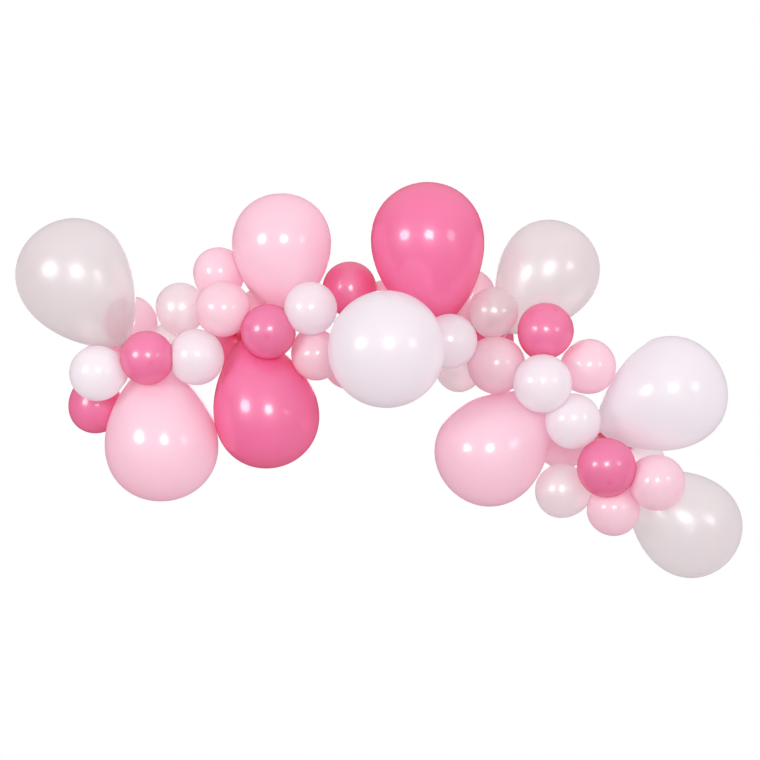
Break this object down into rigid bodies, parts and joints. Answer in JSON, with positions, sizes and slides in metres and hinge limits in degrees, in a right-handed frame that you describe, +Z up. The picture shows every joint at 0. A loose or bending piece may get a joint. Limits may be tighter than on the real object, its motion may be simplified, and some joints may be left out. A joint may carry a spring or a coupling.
{
  "type": "balloon garland",
  "caption": "Hanging arch of large and small latex balloons in hot pink, light pink, white and pearl, knotted into a clear tape.",
  "frame": {"origin": "on the back face of the tape where the garland hangs, midway between two empty holes near the middle of the arch", "axes": "+X to the viewer's right along the arch, +Z up, -Y to the front"},
  "size_m": [1.6637, 0.5103, 0.9035],
  "materials": {
    "hot_pink": "gloss",
    "light_pink": "gloss",
    "white": "gloss",
    "pearl": "gloss",
    "tape": "gloss"
  },
  "bodies": {
    "root": {"garland_tape": "tape", "large_hot_pink_01": "hot_pink", "large_hot_pink_02": "hot_pink", "large_light_pink_01": "light_pink", "large_light_pink_02": "light_pink", "large_light_pink_03": "light_pink", "large_pearl_01": "pearl", "large_pearl_02": "pearl", "large_pearl_03": "pearl", "large_white_01": "white", "large_white_02": "white", "small_hot_pink_01": "hot_pink", "small_hot_pink_02": "hot_pink", "small_hot_pink_03": "hot_pink", "small_hot_pink_04": "hot_pink", "small_hot_pink_05": "hot_pink", "small_hot_pink_06": "hot_pink", "small_hot_pink_07": "hot_pink", "small_hot_pink_08": "hot_pink", "small_hot_pink_09": "hot_pink", "small_light_pink_01": "light_pink", "small_light_pink_02": "light_pink", "small_light_pink_03": "light_pink", "small_light_pink_04": "light_pink", "small_light_pink_05": "light_pink", "small_light_pink_06": "light_pink", "small_light_pink_07": "light_pink", "small_light_pink_08": "light_pink", "small_light_pink_09": "light_pink", "small_light_pink_10": "light_pink", "small_light_pink_11": "light_pink", "small_light_pink_12": "light_pink", "small_light_pink_13": "light_pink", "small_light_pink_14": "light_pink", "small_pearl_01": "pearl", "small_pearl_02": "pearl", "small_pearl_03": "pearl", "small_pearl_04": "pearl", "small_pearl_05": "pearl", "small_pearl_06": "pearl", "small_white_01": "white", "small_white_02": "white", "small_white_03": "white", "small_white_04": "white", "small_white_05": "white", "small_white_06": "white"}
  },
  "joints": []
}
